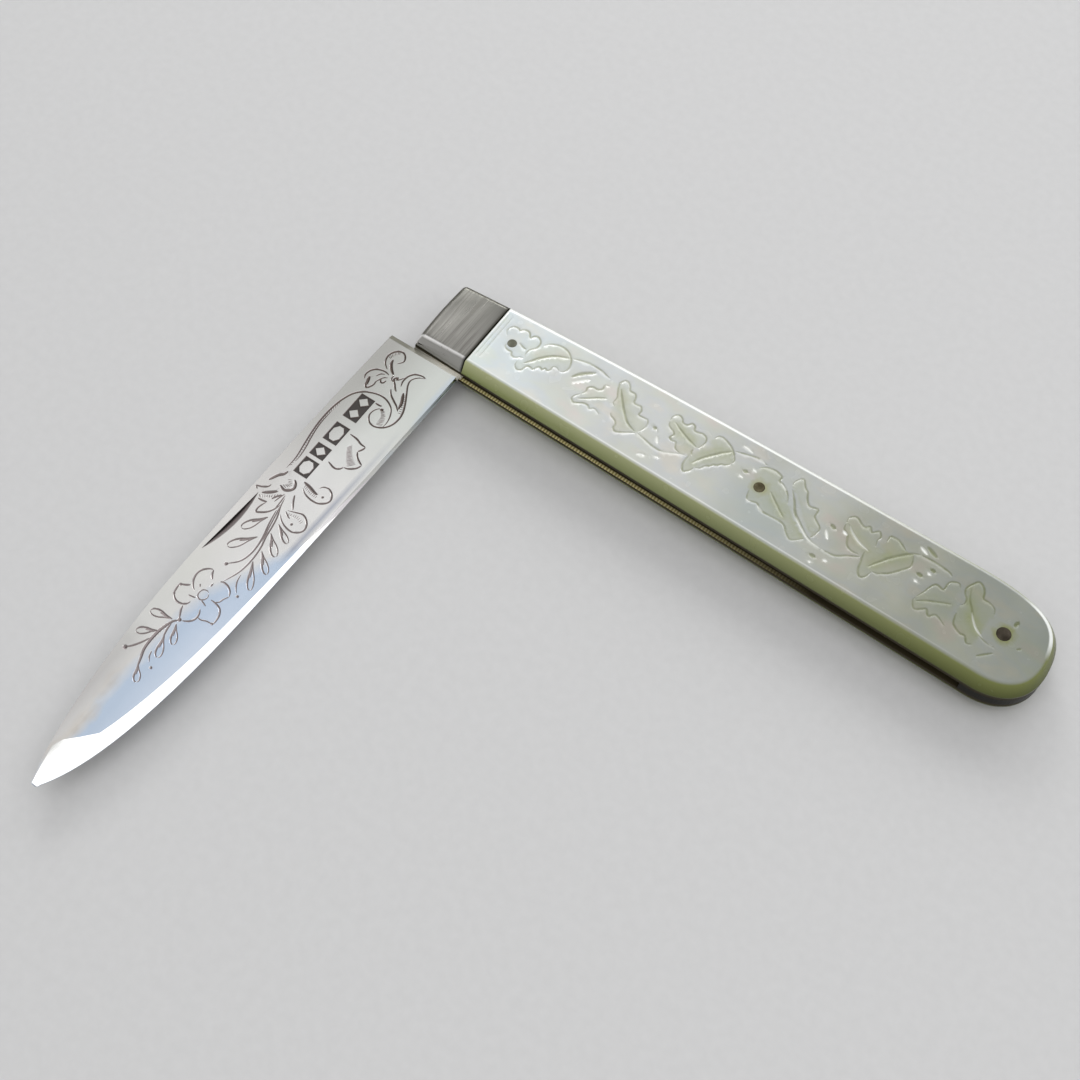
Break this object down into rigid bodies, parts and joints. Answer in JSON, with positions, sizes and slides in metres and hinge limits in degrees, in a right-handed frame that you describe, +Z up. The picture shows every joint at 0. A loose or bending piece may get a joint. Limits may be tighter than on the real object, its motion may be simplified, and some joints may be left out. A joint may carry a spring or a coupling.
{
  "type": "folding fruit knife",
  "caption": "Folding fruit knife: an engraved silver blade on a slip joint, shown on its half stop, between brass liners with a back spring, silver bolsters and carved pearl scales.",
  "frame": {"origin": "on the lower flat side of the handle, at the middle of its length and on the line of the pins", "axes": "+X along the handle from the pivot end to the butt, +Y to the back of the handle, +Z up from the lower flat side to the marked side; at rest the blade points along -Y"},
  "size_m": [0.0905, 0.0833, 0.0063],
  "materials": {
    "silver_blade": "polished silver with bright-cut engraving, a little tarnish in the cuts",
    "silver_bolster": "silver, brushed across the handle",
    "spring_metal": "filed and polished spring",
    "liner_brass": "dull filed edges",
    "pearl": "polished mother-of-pearl with shallow carving",
    "pin_metal": "dull flush pin ends"
  },
  "bodies": {
    "handle": {"back_spring": "spring_metal", "upper_liner": "liner_brass", "lower_liner": "liner_brass", "upper_bolster": "silver_bolster", "lower_bolster": "silver_bolster", "upper_scale": "pearl", "lower_scale": "pearl", "pivot_pin": "silver_bolster", "spring_pin": "pin_metal", "end_pin": "pin_metal", "upper_front_pin": "pin_metal", "lower_front_pin": "pin_metal", "upper_centre_pin": "pin_metal", "lower_centre_pin": "pin_metal"},
    "blade": {"blade": "silver_blade"}
  },
  "joints": [
    {"name": "blade_pivot", "type": "hinge", "parent": "handle", "child": "blade", "pos_m": [-0.0397, -0.00205, 0.00315], "axis": [0, 0, 1], "range_deg": [-90, 90], "deforming": ["back_spring"]}
  ]
}
